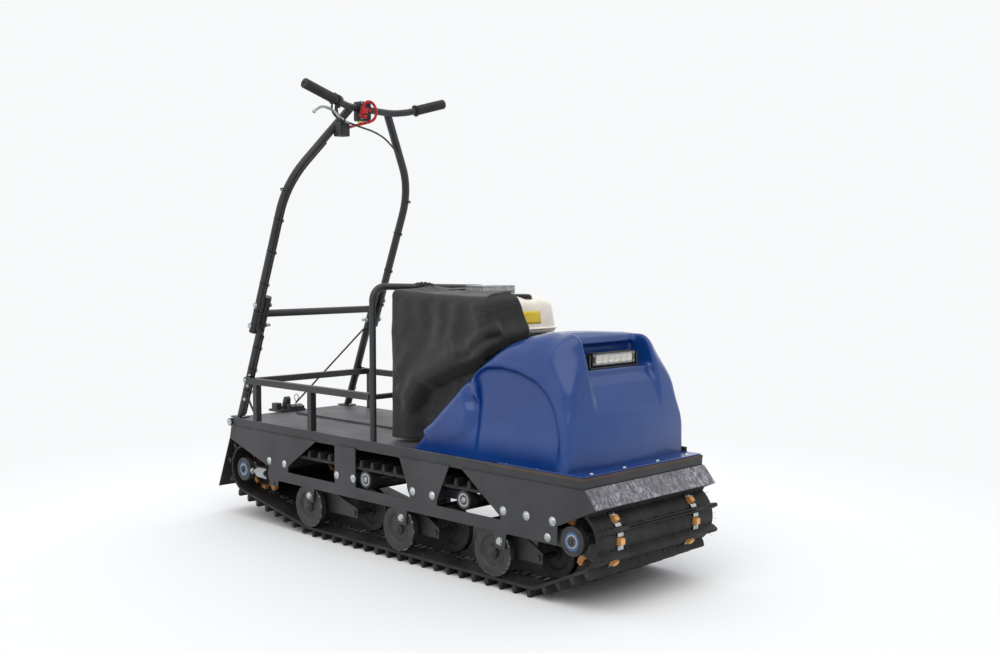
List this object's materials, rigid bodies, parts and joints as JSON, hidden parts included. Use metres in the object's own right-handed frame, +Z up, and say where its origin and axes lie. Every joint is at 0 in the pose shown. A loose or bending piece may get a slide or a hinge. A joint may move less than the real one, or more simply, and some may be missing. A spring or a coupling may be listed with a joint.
{
  "type": "tracked snow tug",
  "caption": "Walk-behind tracked snow tug with a ribbed rubber track, load rails, engine under a moulded nose cover and a folding handle arch.",
  "frame": {"origin": "on the ground under the middle of the machine", "axes": "+X forward, +Y to the left, +Z up"},
  "size_m": [1.7206, 0.5792, 1.4222],
  "materials": {
    "satin_black": "satin",
    "track_rubber": "matte",
    "flap_rubber": "matte",
    "wheel_polymer": "matte",
    "orange_polymer": "satin",
    "zinc_steel": "satin",
    "bearing_steel": "satin",
    "cast_housing": "satin",
    "blue_gelcoat": "gloss",
    "black_plastic": "matte",
    "lens": "gloss",
    "ivory_tank": "gloss",
    "cover_fabric": "matte",
    "grip_rubber": "matte",
    "red_plastic": "gloss",
    "cable_sheath": "matte",
    "engine_metal": "satin"
  },
  "bodies": {
    "chassis": {"main_frame": "satin_black", "deck_plate": "satin_black", "side_plate_left": "satin_black", "side_plate_right": "satin_black", "cross_members": "satin_black", "pivot_brackets": "satin_black", "front_bumper": "satin_black", "rear_crossbar": "satin_black", "mud_flap": "flap_rubber", "tow_hitch": "satin_black", "track": "track_rubber", "front_sprockets": "orange_polymer", "rear_sprockets": "orange_polymer", "front_axle": "zinc_steel", "rear_axle": "zinc_steel", "front_bearing_housings": "cast_housing", "rear_bearing_housings": "cast_housing", "axle_bearings": "bearing_steel", "pivot_tubes": "satin_black", "rocker_arms": "satin_black", "outer_rollers": "wheel_polymer", "inner_rollers": "wheel_polymer", "support_rollers": "wheel_polymer", "support_shafts": "zinc_steel", "basket_rails": "satin_black", "rack_hoop": "satin_black", "handle_lower_frame": "satin_black", "fold_bolts": "zinc_steel", "hood": "blue_gelcoat", "hood_latch": "flap_rubber", "lamp_housing": "black_plastic", "lamp_lens": "lens", "lamp_bracket": "black_plastic", "engine_block": "engine_metal", "fuel_tank": "ivory_tank", "fuel_cap": "black_plastic", "muffler_guard": "zinc_steel", "engine_cover": "cover_fabric", "engine_cable": "cable_sheath", "release_cable": "cable_sheath"},
    "handle": {"handle_arch": "satin_black", "handlebar": "satin_black", "handle_grips": "grip_rubber", "hand_lever": "zinc_steel", "switch_block": "black_plastic", "stop_cord": "red_plastic", "lever_cable": "cable_sheath", "arch_cables": "cable_sheath"}
  },
  "joints": [
    {"name": "handle_fold", "type": "hinge", "parent": "chassis", "child": "handle", "pos_m": [-0.6162, 0, 0.655], "axis": [0, 1, 0], "range_deg": [0, 50]}
  ]
}
